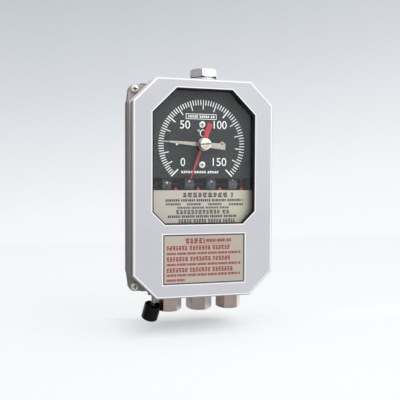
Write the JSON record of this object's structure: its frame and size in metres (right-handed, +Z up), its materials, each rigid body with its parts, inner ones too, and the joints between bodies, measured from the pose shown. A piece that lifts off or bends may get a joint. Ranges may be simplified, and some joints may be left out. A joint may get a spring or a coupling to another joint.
{
  "type": "oil temperature controller",
  "caption": "Wall-hung dial temperature controller with an octagonal window, drag pointer, setting wheels, cable glands and a capillary stub.",
  "frame": {"origin": "centre of the four wall bolts in the plane of the case's back", "axes": "+Y out of the back into the wall, -Y the way the dial faces, +Z up, +X to the viewer's right"},
  "size_m": [0.1508, 0.0872, 0.2753],
  "materials": {
    "case_cast": "grey enamel over a die casting, satin",
    "cover_paint": "silver-grey enamel, satin",
    "rubber_black": "matte",
    "screw_steel": "nickel plated, bright",
    "zinc_steel": "zinc plated",
    "window_pane": "clear, polished",
    "black_paint": "matte black",
    "notice_beige": "printed foil, satin",
    "data_beige": "printed plate, satin",
    "chrome_plug": "polished",
    "nickel": "nickel plated brass, satin",
    "armour_steel": "wound armour",
    "sleeve_rubber": "smooth, half gloss",
    "copper_tube": "drawn copper",
    "brass": "satin",
    "pointer_nickel": "nickel plated, satin",
    "pin_white": "white enamel",
    "pointer_red": "red enamel, satin",
    "knob_ivory": "pale nickel plated, satin",
    "dial_charcoal": "charcoal enamel with white marks",
    "finger_red": "red enamel",
    "wheel_black": "moulded, satin",
    "switch_black": "moulded",
    "button_red": "moulded"
  },
  "bodies": {
    "case": {"base_housing": "case_cast", "cover": "cover_paint", "cover_gasket": "rubber_black", "cover_screws": "screw_steel", "window_glass": "window_pane", "window_seal": "rubber_black", "glass_frame": "black_paint", "glass_frame_screws": "zinc_steel", "notice_plate": "notice_beige", "vent_plug": "chrome_plug", "sealing_washers": "rubber_black", "gland_bodies": "nickel", "gland_nuts": "nickel", "gland_seals": "rubber_black", "gland_locknuts": "nickel", "capillary_bush": "nickel", "bush_locknut": "nickel", "capillary_stem": "armour_steel", "end_sleeve": "sleeve_rubber", "inner_capillary": "copper_tube", "bellows_bracket": "zinc_steel", "bellows_base": "brass", "bellows": "brass", "chassis_plate": "black_paint", "chassis_posts": "zinc_steel", "front_plate": "brass", "plate_pillars": "brass", "reset_bush": "nickel", "reset_bush_nut": "nickel", "plate_posts": "zinc_steel", "dial_plate": "dial_charcoal", "data_plate": "data_beige", "plate_screws": "screw_steel", "index_fingers": "finger_red", "wheel_bracket": "zinc_steel", "wheel_axle": "zinc_steel", "micro_switches": "switch_black", "terminal_block": "switch_black", "terminal_screws": "brass"},
    "pointer_set": {"pointer_arbor": "zinc_steel", "pointer_hub": "nickel", "pointer": "pointer_nickel", "drag_pin": "pin_white"},
    "drag_set": {"drag_pointer": "pointer_red", "reset_knob": "knob_ivory"},
    "sector_set": {"sector_gear": "brass", "sector_arbor": "zinc_steel", "crank_arm": "brass"},
    "rod_set": {"bellows_cap": "brass", "push_rod": "zinc_steel", "switch_bar": "zinc_steel"},
    "wheel_1": {"setting_wheel_1": "wheel_black"},
    "wheel_2": {"setting_wheel_2": "wheel_black"},
    "wheel_3": {"setting_wheel_3": "wheel_black"},
    "wheel_4": {"setting_wheel_4": "wheel_black"},
    "button_1": {"switch_button_1": "button_red"},
    "button_2": {"switch_button_2": "button_red"},
    "button_3": {"switch_button_3": "button_red"},
    "button_4": {"switch_button_4": "button_red"}
  },
  "joints": [
    {"name": "sector_swing", "type": "hinge", "parent": "case", "child": "sector_set", "pos_m": [0.0396, -0.059, 0.0453], "axis": [0, 1, 0], "range_deg": [-22.4, 5.3]},
    {"name": "pointer_turn", "type": "hinge", "parent": "case", "child": "pointer_set", "pos_m": [0, -0.059, 0.0453], "axis": [0, 1, 0], "range_deg": [-52, 224]},
    {"name": "rod_lift", "type": "slide", "parent": "case", "child": "rod_set", "axis": [0, 0, 1], "range_m": [-0.00086, 0.00385], "deforming": ["bellows"]},
    {"name": "drag_turn", "type": "hinge", "parent": "case", "child": "drag_set", "pos_m": [0, -0.078, 0.0453], "axis": [0, 1, 0], "range_deg": [-276, 64]},
    {"name": "wheel_1_turn", "type": "hinge", "parent": "case", "child": "wheel_1", "pos_m": [-0.0366, -0.061, 0.0044], "axis": [1, 0, 0], "range_deg": [-150, 150]},
    {"name": "wheel_2_turn", "type": "hinge", "parent": "case", "child": "wheel_2", "pos_m": [-0.0128, -0.061, 0.0044], "axis": [1, 0, 0], "range_deg": [-150, 150]},
    {"name": "wheel_3_turn", "type": "hinge", "parent": "case", "child": "wheel_3", "pos_m": [0.011, -0.061, 0.0044], "axis": [1, 0, 0], "range_deg": [-150, 150]},
    {"name": "wheel_4_turn", "type": "hinge", "parent": "case", "child": "wheel_4", "pos_m": [0.0348, -0.061, 0.0044], "axis": [1, 0, 0], "range_deg": [-150, 150]},
    {"name": "button_1_press", "type": "slide", "parent": "case", "child": "button_1", "axis": [0, 0, 1], "range_m": [0, 0.0006], "stiffness_N_per_m": 1500, "springref_m": -0.0004},
    {"name": "button_2_press", "type": "slide", "parent": "case", "child": "button_2", "axis": [0, 0, 1], "range_m": [0, 0.0006], "stiffness_N_per_m": 1500, "springref_m": -0.0004},
    {"name": "button_3_press", "type": "slide", "parent": "case", "child": "button_3", "axis": [0, 0, 1], "range_m": [0, 0.0006], "stiffness_N_per_m": 1500, "springref_m": -0.0004},
    {"name": "button_4_press", "type": "slide", "parent": "case", "child": "button_4", "axis": [0, 0, 1], "range_m": [0, 0.0006], "stiffness_N_per_m": 1500, "springref_m": -0.0004}
  ],
  "couplings": [
    {"joint": "pointer_turn", "follows": "rod_lift", "rad_per_m": 1000.2},
    {"joint": "sector_swing", "follows": "rod_lift", "rad_per_m": -100.02}
  ]
}
